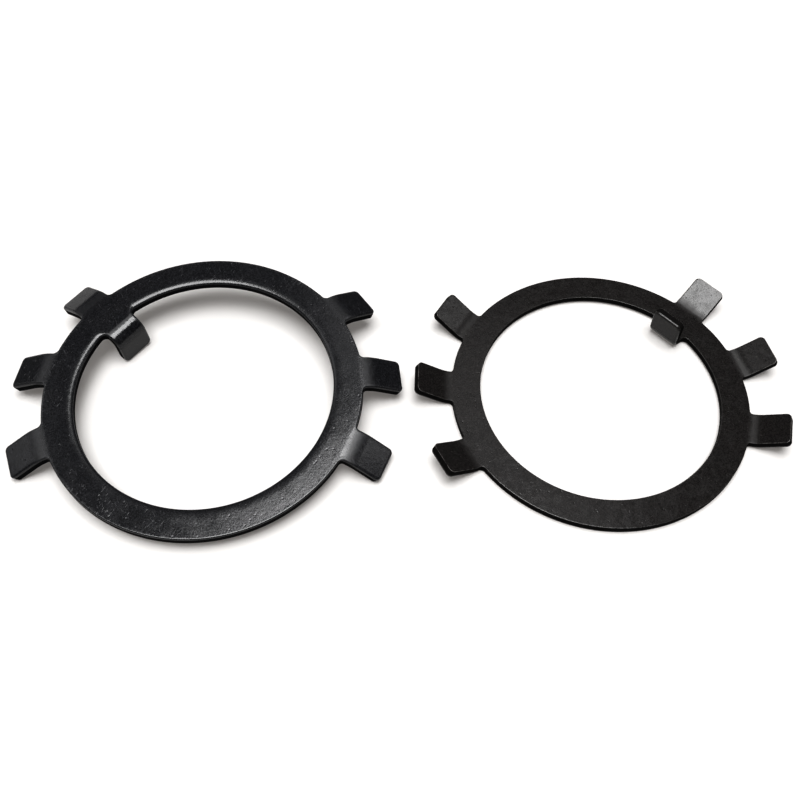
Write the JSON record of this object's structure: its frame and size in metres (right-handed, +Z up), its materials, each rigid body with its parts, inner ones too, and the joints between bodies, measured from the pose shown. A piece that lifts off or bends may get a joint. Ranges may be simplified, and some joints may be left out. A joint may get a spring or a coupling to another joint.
{
  "type": "pair of tab washers",
  "caption": "Blackened steel tab washers that lock a slotted round nut: a flat ring with bent outer tabs and a folded inner tab that keys into the shaft's groove.",
  "frame": {"origin": "on the surface that both washers rest on, in the middle of the pair's footprint", "axes": "+X from the washer standing on its tabs to the washer lying flat, +Z up"},
  "size_m": [0.1236, 0.0488, 0.0075],
  "materials": {
    "blue_black_steel": "black oxide on punched steel, satin, bluish, with a fine grain and light scratches",
    "brown_black_steel": "black oxide on punched steel, matt, brownish, with a fine grain"
  },
  "bodies": {
    "root": {"washer_tabs_down": "blue_black_steel", "washer_tabs_up": "brown_black_steel"}
  },
  "joints": []
}
